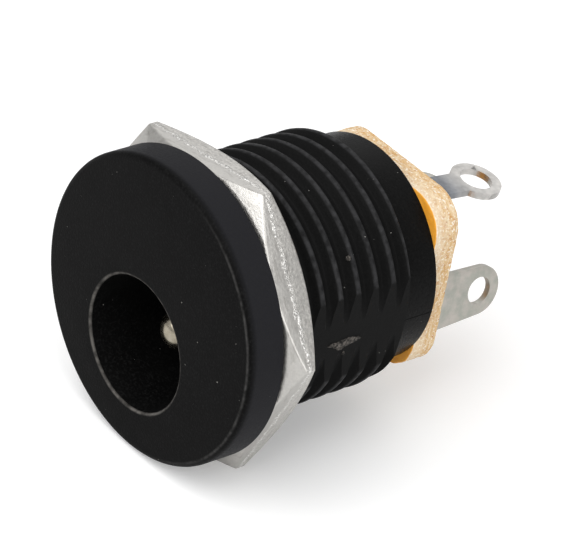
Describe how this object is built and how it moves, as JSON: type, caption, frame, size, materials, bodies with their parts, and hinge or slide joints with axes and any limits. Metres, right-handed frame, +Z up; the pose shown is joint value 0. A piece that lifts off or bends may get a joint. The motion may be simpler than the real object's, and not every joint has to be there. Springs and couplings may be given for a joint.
{
  "type": "dc barrel jack",
  "caption": "Panel-mount DC barrel jack: round flange with an off-centre plug bore, threaded barrel with a hex nut, back plate and solder lugs.",
  "frame": {"origin": "on the barrel's axis in the plane of the flange's rear face, where the panel seats", "axes": "+Y along the barrel's axis from the flange toward the solder lugs, +Z up"},
  "size_m": [0.0154, 0.0178, 0.0142],
  "materials": {
    "housing_plastic": "matte moulded",
    "nut_nickel": "satin nickel plate",
    "phenolic": "punched phenolic paper",
    "pin_nickel": "bright nickel plate",
    "lug_tin": "tinned strip",
    "spring_nickel": "nickel-plated spring strip"
  },
  "bodies": {
    "root": {"housing": "housing_plastic", "panel_nut": "nut_nickel", "back_plate": "phenolic", "centre_pin": "pin_nickel", "pin_lug": "lug_tin", "leaf_spring": "spring_nickel", "switch_contact": "lug_tin"}
  },
  "joints": []
}
